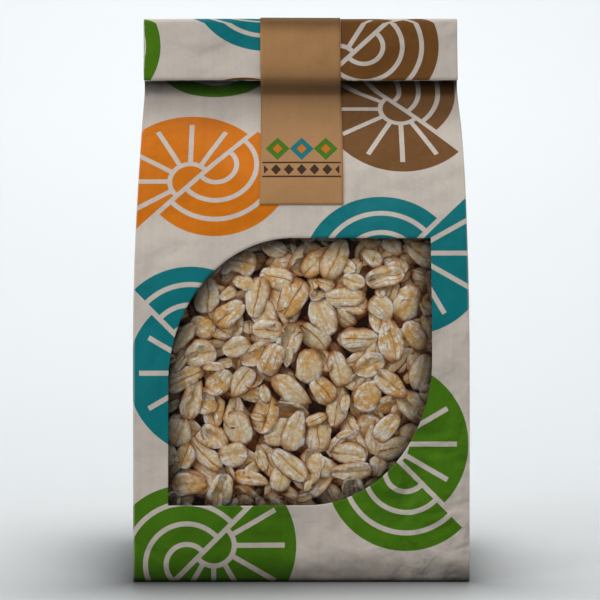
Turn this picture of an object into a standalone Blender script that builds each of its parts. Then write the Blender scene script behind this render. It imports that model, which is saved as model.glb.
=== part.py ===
"""Small side-gusset paper pack of rolled oats, standing upright.

One sheet of paper makes the pack: a flat bottom, front and back panels that lean together into a neck,
side panels that fold inwards between them, and a flap folded forward over the top. A window shaped like a
leaf is cut in the front panel. A clear film covers it from behind, and the oats lie behind the film. A paper
seal strip runs from the back over the flap and down the front.

Metres, +Z up, the front looks along -Y, and the origin is at the middle of the bottom.
"""

import math

import bmesh
import bpy
import numpy as np
from mathutils import Euler, Matrix, Vector

# Driving dimensions of the pack
PACK_WIDTH = 0.100
PACK_DEPTH = 0.060
PACK_HEIGHT = 0.173
FLAP_HEIGHT = 0.020
WALL = 0.0010
FIT_GAP = 0.0003

# Shape of the body between the bottom and the neck
HALF_WIDTH = PACK_WIDTH / 2
HALF_DEPTH = PACK_DEPTH / 2
NECK_Z = PACK_HEIGHT - FLAP_HEIGHT
SHOULDER_Z = 0.060
PINCH_Z = 0.150
SHOULDER_POWER = 2.6
BOTTOM_ROUNDING = 0.0012
ROUNDING_SHARE = 0.3
FRONT_BULGE = 0.0010
SIDE_BULGE = 0.0012
GUSSET_START_Z = 0.066
GUSSET_FULL_Z = 0.125
GUSSET_END_Z = 0.147

# Folded top: the neck and the flap in front of it
NECK_HALF_THICKNESS = 0.0008
FLAP_THICKNESS = 0.0024
FLAP_EDGE = 0.0004
FOLD_ANGLES = (0, 30, 55, 75)
FOLD_LAST_ANGLE = 84

# Window in the front panel, a box with two opposite corners rounded as quarter ellipses
WINDOW_LEFT = -0.0395
WINDOW_RIGHT = 0.0388
WINDOW_BOTTOM = 0.0227
WINDOW_TOP = 0.1023
WINDOW_CURVE_WIDTH = 0.037
WINDOW_CURVE_HEIGHT = 0.0435
CUTTER_REACH = 3 * WALL

# Film behind the window
FILM_THICKNESS = 0.0005
FILM_MARGIN = 0.0045
FILM_INSET = WALL + FIT_GAP

# Oats: a core that fills the pack, and flakes in a shallow pocket behind the film
FILL_TOP_Z = 0.138
POCKET_INSET = 0.0052
POCKET_MARGIN = 0.0066
FLAKE_LENGTH = 0.0112
FLAKE_LENGTH_RANGE = (0.84, 1.12)
FLAKE_WIDTH = 0.0078
FLAKE_WIDTH_RANGE = (0.82, 1.12)
FLAKE_RIM = 0.0011
FLAKE_RIM_SPREAD = 1.15
FLAKE_DIMPLE = 0.35
FLAKE_SIDES = 6
FLAKE_FRONT_INSET = FILM_INSET + FILM_THICKNESS + FIT_GAP
FLAKE_SEED = 12

# Layers of flakes: spacing, random shift, depth behind the paper's face, most tilt
FLAKE_LAYERS = (
    (0.0092, 0.0010, POCKET_INSET - 0.0003, math.radians(7)),
    (0.0124, 0.0022, POCKET_INSET - 0.0014, math.radians(10)),
)

# Seal strip over the flap
STRIP_WIDTH = 0.0253
STRIP_THICKNESS = 0.0004
STRIP_FRONT_Z = 0.1124
STRIP_BACK_Z = 0.1250

# Fineness of the faceted shapes
FRONT_STEPS = 8
SIDE_STEPS = 6
STRAIGHT_STEPS = 3
SHOULDER_STEPS = 13
SHOULDER_CROWDING = 0.7
ARC_STEPS = 9
STRIP_COLUMNS = 4
STRIP_BACK_STEPS = 7
STRIP_FOLD_STEPS = 6
STRIP_FRONT_STEPS = 11
SHARP_ANGLE = math.radians(35)


def clear_scene():
    """Removes every object, so that the script can run again in an open file."""
    for obj in list(bpy.data.objects):
        bpy.data.objects.remove(obj)


def make_collection(name):
    collection = bpy.data.collections.new(name)
    bpy.context.scene.collection.children.link(collection)
    return collection


def make_material(name, colour, roughness, alpha=1.0):
    material = bpy.data.materials.new(name)
    material.use_nodes = True
    shader = material.node_tree.nodes["Principled BSDF"]
    shader.inputs["Base Color"].default_value = (*colour, 1.0)
    shader.inputs["Roughness"].default_value = roughness
    shader.inputs["Metallic"].default_value = 0.0
    shader.inputs["Alpha"].default_value = alpha
    return material


def add_mesh_object(name, vertices, faces, collection, material=None):
    mesh = bpy.data.meshes.new(name)
    mesh.from_pydata([tuple(v) for v in vertices], [], faces)
    mesh.update()
    obj = bpy.data.objects.new(name, mesh)
    collection.objects.link(obj)
    if material:
        mesh.materials.append(material)
    return obj


def recalculate_normals(obj):
    shape = bmesh.new()
    shape.from_mesh(obj.data)
    bmesh.ops.recalc_face_normals(shape, faces=shape.faces)
    shape.to_mesh(obj.data)
    shape.free()


def shade_smooth(obj):
    obj.data.shade_smooth()
    obj.data.set_sharp_from_angle(angle=SHARP_ANGLE)


def apply_modifiers(obj):
    """Replaces the object's mesh by its evaluated one."""
    bpy.context.view_layer.update()
    evaluated = obj.evaluated_get(bpy.context.evaluated_depsgraph_get())
    mesh = bpy.data.meshes.new_from_object(evaluated)
    obj.modifiers.clear()
    obj.data = mesh


def add_boolean(obj, operation, cutter, solver="EXACT"):
    modifier = obj.modifiers.new(operation.title(), "BOOLEAN")
    modifier.operation = operation
    modifier.solver = solver
    if isinstance(cutter, bpy.types.Collection):
        modifier.operand_type = "COLLECTION"
        modifier.collection = cutter
    else:
        modifier.object = cutter


def hide_helper(obj):
    obj.hide_render = True
    obj.display_type = "WIRE"


def smooth_step(value, start, end):
    share = min(max((value - start) / (end - start), 0.0), 1.0)
    return share * share * (3 - 2 * share)


def half_depth(z):
    """Half the distance between the front and back panels: full below, then a power curve to the pinch."""
    lean = min(max((z - SHOULDER_Z) / (PINCH_Z - SHOULDER_Z), 0.0), 1.0)
    return HALF_DEPTH - (HALF_DEPTH - NECK_HALF_THICKNESS) * lean**SHOULDER_POWER


def gusset_depth(z):
    """How far the side's middle crease is folded in, so that half a side panel keeps its length."""
    slack = math.sqrt(max(HALF_DEPTH**2 - half_depth(z) ** 2, 0.0))
    opening = smooth_step(z, GUSSET_START_Z, GUSSET_FULL_Z)
    closing = 1 - smooth_step(z, GUSSET_END_Z, NECK_Z)
    return slack * opening * closing


def fullness(z):
    """Share of the panels' bulge at a height: none at the bottom edge or at the neck."""
    return math.sin(math.pi * min(max(z / NECK_Z, 0.0), 1.0))


def front_offset(x, z, inset=0.0):
    """Distance of the front panel's surface in front of the middle plane, moved in by inset."""
    across = 1 - min(abs(x) / HALF_WIDTH, 1.0) ** 2
    return half_depth(z) + FRONT_BULGE * fullness(z) * across - inset


def side_offset(depth_share, z, inset=0.0):
    """Distance of the side panel's surface from the pack's middle, at a share of the depth from -1 to 1."""
    depth = half_depth(z)
    crease = gusset_depth(z)
    along = math.hypot(depth, crease) / depth
    fold = crease * (1 - abs(depth_share))
    flat = 1 - smooth_step(z, SHOULDER_Z, GUSSET_FULL_Z)
    bulge = SIDE_BULGE * fullness(z) * (1 - depth_share**2) * flat
    return HALF_WIDTH + bulge - fold - inset * along


def body_section(z, inset=0.0):
    """One closed ring of points round the pack at a height, moved in from the outer face by inset."""
    depth = half_depth(z)
    corner = (depth - inset) / depth
    corner_x = side_offset(corner, z, inset)
    across = np.linspace(-1, 1, FRONT_STEPS + 1)
    front = [(s * corner_x, -front_offset(s * corner_x, z, inset), z) for s in across]
    along = np.linspace(-1, 1, SIDE_STEPS + 1)[1:-1]
    side = [(side_offset(corner * s, z, inset), s * (depth - inset), z) for s in along]
    half_ring = front + side
    return half_ring + [(-x, -y, z) for x, y, z in half_ring]


def loft(name, rings, collection, material=None):
    """A closed solid through rings of equally many points, with its first and last ring filled."""
    count = len(rings[0])
    vertices = [point for ring in rings for point in ring]
    faces = []
    for level in range(len(rings) - 1):
        low, high = level * count, (level + 1) * count
        for i in range(count):
            j = (i + 1) % count
            faces.append((low + i, low + j, high + j))
            faces.append((low + i, high + j, high + i))
    faces.append(tuple(range(count)))
    faces.append(tuple(range((len(rings) - 1) * count, len(rings) * count)))
    obj = add_mesh_object(name, vertices, faces, collection, material)
    recalculate_normals(obj)
    return obj


def body_heights(start, end):
    """Heights of the body's rings: wide apart on the straight part, close on the curved shoulder."""
    straight = np.linspace(0, SHOULDER_Z, STRAIGHT_STEPS + 1)[1:]
    climb = np.linspace(0, 1, SHOULDER_STEPS + 1)[1:]
    shoulder = SHOULDER_Z + (PINCH_Z - SHOULDER_Z) * climb**SHOULDER_CROWDING
    inside = [z for z in (*straight, *shoulder) if start + WALL < z < end - WALL]
    return [start, *inside, end]


def scaled_ring(ring, shrink):
    """A ring moved in from the pack's outline by a distance, used for the rounded bottom edge."""
    return [(x * (1 - shrink / HALF_WIDTH), y * (1 - shrink / HALF_DEPTH), z) for x, y, z in ring]


def flap_rings():
    """Rings of the folded top: a step out from the neck to the flap's face, then a round fold."""
    half = NECK_HALF_THICKNESS + FLAP_THICKNESS / 2
    middle_y = NECK_HALF_THICKNESS - half
    fold_z = PACK_HEIGHT - half
    neck = np.array(body_section(NECK_Z)) / (1, NECK_HALF_THICKNESS, 1)
    heights = [(NECK_Z + FLAP_EDGE, half)]
    for angle in np.radians(FOLD_ANGLES):
        heights.append((fold_z + half * math.sin(angle), half * math.cos(angle)))
    heights.append((PACK_HEIGHT, half * math.cos(math.radians(FOLD_LAST_ANGLE))))
    return [[(x, middle_y + y * thick, z) for x, y, _ in neck] for z, thick in heights]


def window_side(z, grow, from_left):
    """The window's left or right edge at a height, for an outline grown by a margin all round."""
    low, high = WINDOW_BOTTOM - grow, WINDOW_TOP + grow
    width, height = WINDOW_CURVE_WIDTH + grow, WINDOW_CURVE_HEIGHT + grow
    rise = z - (high - height) if from_left else (low + height) - z
    share = min(max(rise / height, 0.0), 1.0)
    cut = width * (1 - math.sqrt(max(1 - share**2, 0.0)))
    return WINDOW_LEFT - grow + cut if from_left else WINDOW_RIGHT + grow - cut


def window_heights(grow):
    """Heights of the window's rows, close together where its two curves run flat."""
    low, high = WINDOW_BOTTOM - grow, WINDOW_TOP + grow
    height = WINDOW_CURVE_HEIGHT + grow
    climb = height * (1 - np.sin(np.linspace(0, math.pi / 2, ARC_STEPS + 1)))
    return sorted(set(np.round(np.concatenate([low + climb, high - climb]), 6)))


def window_patch(name, inset, grow, depth, collection, material=None):
    """A sheet over the grown window that follows the front panel and is depth thick, inwards."""
    heights = window_heights(grow)
    vertices = []
    for z in heights:
        left = window_side(z, grow, True)
        right = window_side(z, grow, False)
        for share in np.linspace(0, 1, FRONT_STEPS + 1):
            x = left + (right - left) * share
            vertices.append((x, -front_offset(x, z, inset), z))
    faces = []
    across = FRONT_STEPS + 1
    for row in range(len(heights) - 1):
        for column in range(FRONT_STEPS):
            first = row * across + column
            faces.append((first, first + 1, first + across + 1, first + across))
    patch = add_mesh_object(name, vertices, faces, collection, material)
    solidify = patch.modifiers.new("Thickness", "SOLIDIFY")
    solidify.thickness = depth
    solidify.offset = -1
    return patch


def build_bag(parts, cutters):
    """The paper pack: a closed loft with the room for the oats and the window cut out of it."""
    paper = make_material("bag_paper", (0.62, 0.57, 0.53), 0.75)
    part_way = BOTTOM_ROUNDING * ROUNDING_SHARE
    rounding = [
        scaled_ring(body_section(0.0), BOTTOM_ROUNDING),
        scaled_ring(body_section(part_way), part_way),
    ]
    body = [body_section(z) for z in body_heights(BOTTOM_ROUNDING, NECK_Z)]
    bag = loft("paper_bag", rounding + body + flap_rings(), parts, paper)

    room = loft("room", [body_section(z, WALL) for z in body_heights(WALL, FILL_TOP_Z)], cutters)
    hide_helper(room)
    add_boolean(bag, "DIFFERENCE", room)

    opening = window_patch("window_cutter", -CUTTER_REACH, 0.0, 2 * CUTTER_REACH, cutters)
    hide_helper(opening)
    add_boolean(bag, "DIFFERENCE", opening)
    apply_modifiers(bag)
    shade_smooth(bag)
    return bag


def build_film(parts):
    """The clear sheet glued behind the window, wider than it all round."""
    clear = make_material("clear_film", (0.90, 0.92, 0.90), 0.15, alpha=0.2)
    film = window_patch("window_film", FILM_INSET, FILM_MARGIN, FILM_THICKNESS, parts, clear)
    apply_modifiers(film)
    return film


def make_flake(rng, flakes):
    """One rolled flake: an oval disc with both of its faces pushed in at the middle."""
    length = FLAKE_LENGTH * rng.uniform(*FLAKE_LENGTH_RANGE)
    width = FLAKE_WIDTH * rng.uniform(*FLAKE_WIDTH_RANGE)
    shape = bmesh.new()
    bmesh.ops.create_uvsphere(shape, u_segments=FLAKE_SIDES, v_segments=3, radius=1.0)
    for vertex in shape.verts:
        is_pole = vertex.co.xy.length < 0.5
        if is_pole:
            vertex.co.z *= FLAKE_DIMPLE
        else:
            vertex.co.xy *= FLAKE_RIM_SPREAD
    size = Matrix.Diagonal((length / 2, width / 2, FLAKE_RIM, 1.0))
    bmesh.ops.transform(shape, matrix=size, verts=shape.verts)
    mesh = bpy.data.meshes.new("flake")
    shape.to_mesh(mesh)
    shape.free()
    flake = bpy.data.objects.new("flake", mesh)
    flakes.objects.link(flake)
    return flake


def hex_points(pitch, jitter, rng):
    """Points of a shaken triangular grid that covers the pocket."""
    row_step = pitch * math.sqrt(3) / 2
    margin = POCKET_MARGIN - FLAKE_LENGTH / 2
    low, high = WINDOW_BOTTOM - margin, WINDOW_TOP + margin
    points = []
    for row, z in enumerate(np.arange(low, high + row_step / 2, row_step)):
        for x in np.arange(WINDOW_LEFT - margin + (row % 2) * pitch / 2, WINDOW_RIGHT + margin, pitch):
            spot_x = x + rng.uniform(-jitter, jitter)
            spot_z = z + rng.uniform(-jitter, jitter)
            level = min(max(spot_z, low), high)
            if window_side(level, margin, True) < spot_x < window_side(level, margin, False):
                points.append((spot_x, level))
    return points


def lay_flakes(flakes, rng, pitch, jitter, inset, most_tilt):
    """One layer of flakes, turned at random, each no nearer to the film than the gap allows."""
    for x, z in hex_points(pitch, jitter, rng):
        flake = make_flake(rng, flakes)
        lean = math.atan2(half_depth(z) - half_depth(z + 0.001), 0.001)
        tilt = Euler((rng.uniform(-most_tilt, most_tilt), rng.uniform(-most_tilt, most_tilt), 0.0))
        turn = Matrix.Rotation(rng.uniform(0, math.pi), 4, "Z")
        face_front = Matrix.Rotation(math.radians(90) + lean, 4, "X").inverted()
        turned = face_front @ tilt.to_matrix().to_4x4() @ turn
        reach = max(
            -(turned @ vertex.co).y - (front_offset(x, z + (turned @ vertex.co).z) - front_offset(x, z))
            for vertex in flake.data.vertices
        )
        nearest = front_offset(x, z, FLAKE_FRONT_INSET) - reach - FIT_GAP / 2
        y = -min(front_offset(x, z, inset), nearest)
        flake.matrix_world = Matrix.Translation(Vector((x, y, z))) @ turned


def keep_outer_shell(obj):
    """Drops loose scraps and fills sealed hollows: only the connected shell with the most faces stays."""
    shape = bmesh.new()
    shape.from_mesh(obj.data)
    waiting = set(shape.faces)
    shells = []
    while waiting:
        front = [waiting.pop()]
        shell = list(front)
        while front:
            face = front.pop()
            for edge in face.edges:
                for near in edge.link_faces:
                    if near in waiting:
                        waiting.discard(near)
                        front.append(near)
                        shell.append(near)
        shells.append(shell)
    shells.sort(key=len)
    spare = [face for shell in shells[:-1] for face in shell]
    bmesh.ops.delete(shape, geom=spare, context="FACES")
    loose = [edge for edge in shape.edges if not edge.link_faces]
    bmesh.ops.delete(shape, geom=loose, context="EDGES")
    bmesh.ops.triangulate(shape, faces=shape.faces)
    shape.to_mesh(obj.data)
    shape.free()


def build_oats(parts, cutters):
    """The oats: a core that fills the pack, with flakes fused on in a pocket of it behind the film."""
    oat = make_material("oat_flakes", (0.56, 0.42, 0.25), 0.8)
    inset = WALL + FIT_GAP
    heights = body_heights(inset, FILL_TOP_Z - FIT_GAP)
    oats = loft("rolled_oats", [body_section(z, inset) for z in heights], parts, oat)
    pocket_depth = POCKET_INSET + CUTTER_REACH
    pocket = window_patch("pocket_cutter", -CUTTER_REACH, POCKET_MARGIN, pocket_depth, cutters)
    hide_helper(pocket)
    add_boolean(oats, "DIFFERENCE", pocket)
    apply_modifiers(oats)

    flakes = make_collection("flakes")
    rng = np.random.default_rng(FLAKE_SEED)
    for layer in FLAKE_LAYERS:
        lay_flakes(flakes, rng, *layer)
    add_boolean(oats, "UNION", flakes, "MANIFOLD")
    apply_modifiers(oats)
    for flake in list(flakes.objects):
        bpy.data.objects.remove(flake)
    bpy.data.collections.remove(flakes)
    keep_outer_shell(oats)
    return oats


def strip_path(x):
    """Points (y, z) along the seal strip's inner face: up the back, over the fold and down the front."""
    climb = np.linspace(STRIP_BACK_Z, NECK_Z, STRIP_BACK_STEPS + 1)[:-1]
    back = [(front_offset(x, z) + FIT_GAP, z) for z in climb]
    half = NECK_HALF_THICKNESS + FLAP_THICKNESS / 2 + FIT_GAP
    middle_y = NECK_HALF_THICKNESS + FIT_GAP - half
    fold_z = PACK_HEIGHT - half + FIT_GAP
    over = [
        (middle_y + half * math.cos(angle), fold_z + half * math.sin(angle))
        for angle in np.linspace(0, math.pi, STRIP_FOLD_STEPS + 1)
    ]
    flap_y = middle_y - half
    front = [(flap_y, NECK_Z)]
    for z in np.linspace(NECK_Z, STRIP_FRONT_Z, STRIP_FRONT_STEPS + 1)[1:]:
        surface = -front_offset(x, z) - FIT_GAP
        front.append((min(surface, flap_y), z))
    return back + [(NECK_HALF_THICKNESS + FIT_GAP, NECK_Z)] + over + front


def build_strip(parts):
    """The seal strip, a band of stiff paper that follows the back, the fold and the front."""
    kraft = make_material("strip_paper", (0.42, 0.27, 0.13), 0.7)
    lines = []
    for x in np.linspace(-STRIP_WIDTH / 2, STRIP_WIDTH / 2, STRIP_COLUMNS + 1):
        lines.append([(x, y, z) for y, z in strip_path(x)])
    rows = len(lines[0])
    vertices = [point for line in lines for point in line]
    faces = []
    for column in range(STRIP_COLUMNS):
        for row in range(rows - 1):
            first = column * rows + row
            faces.append((first, first + rows, first + rows + 1, first + 1))
    strip = add_mesh_object("seal_strip", vertices, faces, parts, kraft)
    solidify = strip.modifiers.new("Thickness", "SOLIDIFY")
    solidify.thickness = STRIP_THICKNESS
    solidify.offset = -1
    apply_modifiers(strip)
    shade_smooth(strip)
    return strip


def main():
    clear_scene()
    parts = make_collection("oat_pack")
    cutters = make_collection("cutters")
    build_bag(parts, cutters)
    build_film(parts)
    build_oats(parts, cutters)
    build_strip(parts)


main()
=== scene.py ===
import math

import bmesh
import bpy
import numpy as np
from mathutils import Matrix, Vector


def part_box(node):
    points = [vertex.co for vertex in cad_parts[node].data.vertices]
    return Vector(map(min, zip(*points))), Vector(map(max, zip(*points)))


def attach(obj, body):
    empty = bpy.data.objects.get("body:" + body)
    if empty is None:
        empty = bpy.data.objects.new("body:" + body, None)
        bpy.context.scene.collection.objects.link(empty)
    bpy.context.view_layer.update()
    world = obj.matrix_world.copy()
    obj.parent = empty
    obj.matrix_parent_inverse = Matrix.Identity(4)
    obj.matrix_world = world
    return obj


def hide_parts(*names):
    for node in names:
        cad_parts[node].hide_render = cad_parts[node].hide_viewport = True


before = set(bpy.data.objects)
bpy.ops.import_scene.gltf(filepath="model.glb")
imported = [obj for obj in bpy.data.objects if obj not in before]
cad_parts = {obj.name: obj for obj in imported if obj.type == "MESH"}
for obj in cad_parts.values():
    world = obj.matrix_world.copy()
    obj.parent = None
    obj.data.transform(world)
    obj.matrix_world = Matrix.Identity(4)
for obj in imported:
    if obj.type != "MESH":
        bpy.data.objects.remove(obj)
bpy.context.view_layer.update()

bl_info = {
    "name": "Oat Pack Looks",
    "version": (1, 0, 0),
    "blender": (4, 5, 0),
    "location": "3D View > Sidebar > Oat Pack",
    "description": "Builds the paper, film, oats and seal strip of a window pack around its solids",
    "category": "Object",
}

BODY = "root"
MM = 0.001
WELD = 0.002 * MM

# The pack's form, as in the solids: half sizes, heights where its parts begin and end, bulges and roundings
HALF_WIDTH = 50.0 * MM
HALF_DEPTH = 30.0 * MM
NECK_Z = 153.0 * MM
PACK_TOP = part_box("paper_bag")[1][2]
SHOULDER_Z = 60.0 * MM
PRESSED_Z = 138.0 * MM
PINCH_Z = 150.0 * MM
SHOULDER_POWER = 2.6
NECK_HALF = 0.8 * MM
FRONT_BULGE = 1.0 * MM
SIDE_BULGE = 1.2 * MM
GUSSET_START_Z = 66.0 * MM
GUSSET_FULL_Z = 125.0 * MM
BOTTOM_ROUNDING = 0.6 * MM
BOTTOM_STEP = 0.62 * MM
EDGE_ROUNDING = 0.7 * MM

# The bottom: its rings as a share of the edge's last ring and a rise in shares of the step, and its folded-under flaps
BASE_RINGS = ((1.0, 0.0), (0.992, 0.5), (0.978, 1.0), (0.8, 1.0), (0.5, 1.0), (0.0, 1.0))
BOTTOM_FLAP_LENGTH = 33.4 * MM
INNER_FLAP_Z = 0.5 * BOTTOM_STEP
OUTER_FLAP_Z = 0.04 * MM

# The window, a box with two opposite corners rounded as quarter ellipses
WINDOW_LEFT = -39.5 * MM
WINDOW_RIGHT = 38.8 * MM
WINDOW_BOTTOM = 22.7 * MM
WINDOW_TOP = 102.3 * MM
WINDOW_CURVE_WIDTH = 37.0 * MM
WINDOW_CURVE_HEIGHT = 43.5 * MM
FILM_OVERLAP = 4.0 * MM
FILM_GAP = 0.8 * MM

# Ripples of the film: seed, how many, size and depth, and the most that they add up to
FILM_RIPPLES = (31, 30, 12 * MM, 0.10 * MM)
RIPPLE_LIMIT = 0.2 * MM

# The folded top
FOLD_CLEARANCE = 0.15 * MM
FLAP_END_Z = 153.2 * MM
FLAP_SPLAY = 0.9 * MM

# Unrolled paper: its width once and half round the pack, where its left side begins, and where its glued edge lies
UNROLLED = 4 * HALF_WIDTH + 4 * HALF_DEPTH
HALF_ROUND = 2 * HALF_WIDTH + 2 * HALF_DEPTH
LEFT_SIDE_START = -HALF_WIDTH - 2 * HALF_DEPTH
SEAM_AT = 164.93 * MM
UV_START = SEAM_AT - UNROLLED
LAP_WIDTH = 13.0 * MM
LAP_HEIGHT = 0.25 * MM

# Where the paper is dented most, on the unrolled sheet: least and most across, least and most up
DENTED_PART = (26 * MM, 50 * MM, 14 * MM, 44 * MM)

# The most that dents and creases add up to, softly
RELIEF_LIMIT = 0.90 * MM

# Heights of the fine relief in the paper's material
DENT_HEIGHT = 5.0 * MM
CREASE_HEIGHT = 0.4 * MM
FIBRE_HEIGHT = 0.06 * MM

# The print, in millimetres on the sheet; the angle is half of that between two spokes
PRINT_SHIFT = (-38.07, -8.0, 0.0)
PRINT_CELL = 58.0
PRINT_RADIUS = 24.5
PRINT_LINE = 1.5
SPOKE_ANGLE = math.pi / 12

# Inks of the split discs, in the order in which the cells take them
INK_ORDER = ("teal", "orange", "green", "brown", "green", "teal", "brown")

# Lozenges and rules on the strip: middle height above its front end, half width, half height, pitch, reach, colour
STRIP_ORNAMENT = (
    (9.4, 300.0, 0.30, 1000.0, 12.0, "rule"),
    (14.4, 300.0, 0.30, 1000.0, 12.0, "rule"),
    (11.9, 1.55, 1.9, 3.9, 11.5, "rule"),
    (19.6, 3.7, 4.3, 7.4, 11.1, "green"),
    (19.6, 3.7, 4.3, 7.4, 3.7, "teal"),
    (19.6, 1.5, 1.8, 7.4, 11.1, "orange"),
)

# Fineness of the grids
FRONT_COLUMNS = 80
BODY_ROWS = 120
SIDE_COLUMNS = 44
CORNER_STEPS = 4
WINDOW_RINGS = 34
FILM_RINGS = 40
SEAM_COLUMN = 176
FOLD_ROWS = (12, 12, 16)
CORE_ROWS = 110
CORE_COLUMNS = 96
CORE_SIDE_COLUMNS = 16
STRIP_COLUMNS = 28
STRIP_FOLD_ROWS = (13, 18, 19)

# Oats
HEAP_DEPTH = 7.5 * MM
HEAP_CLEARANCE = 2.5 * MM
HEAP_SIDE = 46.0 * MM
HEAP_MARGIN = 5.0 * MM
HEAP_STEP = 0.5 * MM
CORE_INSET = 2.0 * MM
CORE_TOP = 137.0 * MM
GROUND_ROUGHNESS = 0.6 * MM
FLAKE_THICKNESS = 0.62 * MM
FLAKE_BEND = 0.36 * MM

# Chances of the flakes: seeds of the heap, of their shapes and of their tones; spread and least of their lengths and
# of their widths, and the most of both, as shares of the mean; how many are broken, and to which shares of their size
HEAP_SEED = 5
SHAPE_SEED = 6
TONE_SEED = 8
FLAKE_SPREADS = ((0.15, 0.6), (0.14, 0.65))
LARGEST = 1.25
BROKEN_SHARE = 0.13
BROKEN_SIZES = (0.42, 0.72)

# How a flake lies: chance and most of its slopes, the slopes' shares that are tried in turn, the percentage of the
# ground that is below it, and the fewest points of the field that it covers and that are seen of it
SLOPE_CHANCE = 0.11
STEEPEST = 0.58
SLOPE_SHARES = (1.0, 0.45, 0.1)
GROUND_BELOW = 84
FEWEST_COVERED = 12
FEWEST_SEEN = 6

# Grid of one flake: places along it and across it, and the height of its top across it
FLAKE_ALONG = np.array([-0.98, -0.84, -0.45, 0.0, 0.45, 0.84, 0.98])
FLAKE_ACROSS = np.array([-1.0, -0.88, -0.20, 0.0, 0.20, 0.88, 1.0])
FLAKE_TOP = np.array([0.35, 0.95, 0.90, 0.50, 0.90, 0.95, 0.35])

# Painted shade between the flakes: blur of the heap in steps of its field, and the powers that dim red, green and blue
FIELD_BLUR = 3.0
WARM_POWERS = (0.70, 1.42, 2.40)

# Seal strip
STRIP_HALF = 12.65 * MM
STRIP_FRONT_Z = 112.4 * MM
STRIP_BACK_Z = 125.0 * MM
STRIP_DIP_Z = 151.2 * MM
STRIP_FLAT_Z = 148.6 * MM
STRIP_FOLD_END = 2.98
STRIP_GAP = 0.12 * MM
STRIP_THICKNESS = 0.25 * MM

# Camera: where the photograph was taken from
CAMERA_PLACE = (-0.0004, -0.438, 0.0837)
CAMERA_LENS = 82.5
CAMERA_SENSOR = 36.0

# The room's even light
SKY_COLOUR = (0.93, 0.97, 1.0, 1.0)
SKY_STRENGTH = 0.16

# Lights: name, place, aim, size, power and colour
PACK_MIDDLE = (0.0, 0.0, 0.08)
LIGHTS = (
    ("key_light", (0.10, -0.38, 1.15), PACK_MIDDLE, (0.55, 0.55), 6.8, (1.0, 0.985, 0.965)),
    ("left_light", (-0.90, -0.55, 0.38), PACK_MIDDLE, (0.3, 0.3), 4.2, (1.0, 0.99, 0.98)),
    ("right_light", (0.95, -0.50, 0.45), PACK_MIDDLE, (0.3, 0.3), 1.3, (1.0, 0.99, 0.98)),
    ("wall_light", (0.0, 0.15, 0.9), (0.0, 0.80, 0.60), (1.8, 0.3), 10.6, (0.97, 0.99, 1.0)),
)


def smooth_step(value, start, end, low=0.0, high=1.0):
    """low before start and high after end, with the cubic 3t^2 - 2t^3 between them."""
    share = np.clip((value - start) / (end - start), 0.0, 1.0)
    return low + (high - low) * share * share * (3 - 2 * share)


def turned_axes(x, y, turn):
    """x and y in axes that are turned by an angle."""
    return x * math.cos(turn) + y * math.sin(turn), y * math.cos(turn) - x * math.sin(turn)


def bezier(start, corner, end, s):
    """Points of a quadratic Bezier curve at shares s."""
    return (1 - s) ** 2 * start + 2 * s * (1 - s) * corner + s**2 * end


def half_depth(z):
    """Half the pack's depth: full up to the shoulder, then full minus a power of the share of the climb."""
    lean = np.clip((z - SHOULDER_Z) / (PINCH_Z - SHOULDER_Z), 0.0, 1.0)
    return HALF_DEPTH - (HALF_DEPTH - NECK_HALF) * lean**SHOULDER_POWER


def gusset_depth(z):
    """Depth of the side's inward fold: the other side of a right triangle with half_depth, opened smoothly."""
    slack = np.sqrt(np.maximum(HALF_DEPTH**2 - half_depth(z) ** 2, 0.0))
    return slack * smooth_step(z, GUSSET_START_Z, GUSSET_FULL_Z)


def fullness(z):
    """Half a sine wave from the bottom to the neck."""
    return np.sin(np.pi * np.clip(z / NECK_Z, 0.0, 1.0))


def front_offset(x, z):
    """Distance of the front panel from the middle plane: half_depth plus a parabola across the width."""
    across = 1 - np.minimum(np.abs(x) / HALF_WIDTH, 1.0) ** 2
    return half_depth(z) + FRONT_BULGE * fullness(z) * across


def side_offset(share, z):
    """Distance of the side panel from the middle, at a share of the depth from -1 to 1: a V with a soft base."""
    soft = 0.05
    fold = gusset_depth(z) * (1 - (np.sqrt(share**2 + soft**2) - soft) / (math.sqrt(1 + soft**2) - soft))
    flat = 1 - smooth_step(z, SHOULDER_Z, GUSSET_FULL_Z)
    return HALF_WIDTH + SIDE_BULGE * fullness(z) * (1 - share**2) * flat - fold


def climb_length(z):
    """Length along the front panel from the floor up to a height, summed over short steps."""
    levels = np.linspace(0.0, NECK_Z, 400)
    rises = np.hypot(np.diff(levels), np.diff(half_depth(levels)))
    return np.interp(z, levels, np.concatenate([[0.0], np.cumsum(rises)]))


def random_places(u, v, seed, count, region):
    """Distances along and across from each of some random places in a region, turned at random.

    It hands over its random numbers too, so that what lies there draws its own sizes from them.
    """
    rng = np.random.default_rng(seed)
    for _ in range(count):
        du, dv = u - rng.uniform(region[0], region[1]), v - rng.uniform(region[2], region[3])
        yield rng, *turned_axes(du, dv, rng.uniform(0, np.pi))


def soft_dents(u, v, seed, count, size, depth, region):
    """Height field: a sum of bell-shaped hollows and bumps, longer than wide."""
    height = np.zeros_like(u)
    for rng, along, across in random_places(u, v, seed, count, region):
        long, wide = size * rng.uniform(0.8, 2.2), size * rng.uniform(0.35, 0.8)
        height += rng.normal() * depth * np.exp(-((along / long) ** 2) - (across / wide) ** 2)
    return height


def crease_lines(u, v, seed, count, length, depth, region):
    """Height field: a sum of straight creases, each a sharp ridge exp(-distance / width) that fades at its ends."""
    height = np.zeros_like(u)
    for rng, along, across in random_places(u, v, seed, count, region):
        long, wide = length * rng.uniform(0.5, 1.4), rng.uniform(1.2, 3.0) * MM
        ridge = np.exp(-np.sqrt(across**2 + (0.35 * MM) ** 2) / wide)
        height += rng.normal() * depth * ridge * np.exp(-((along / long) ** 4))
    return height


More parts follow.
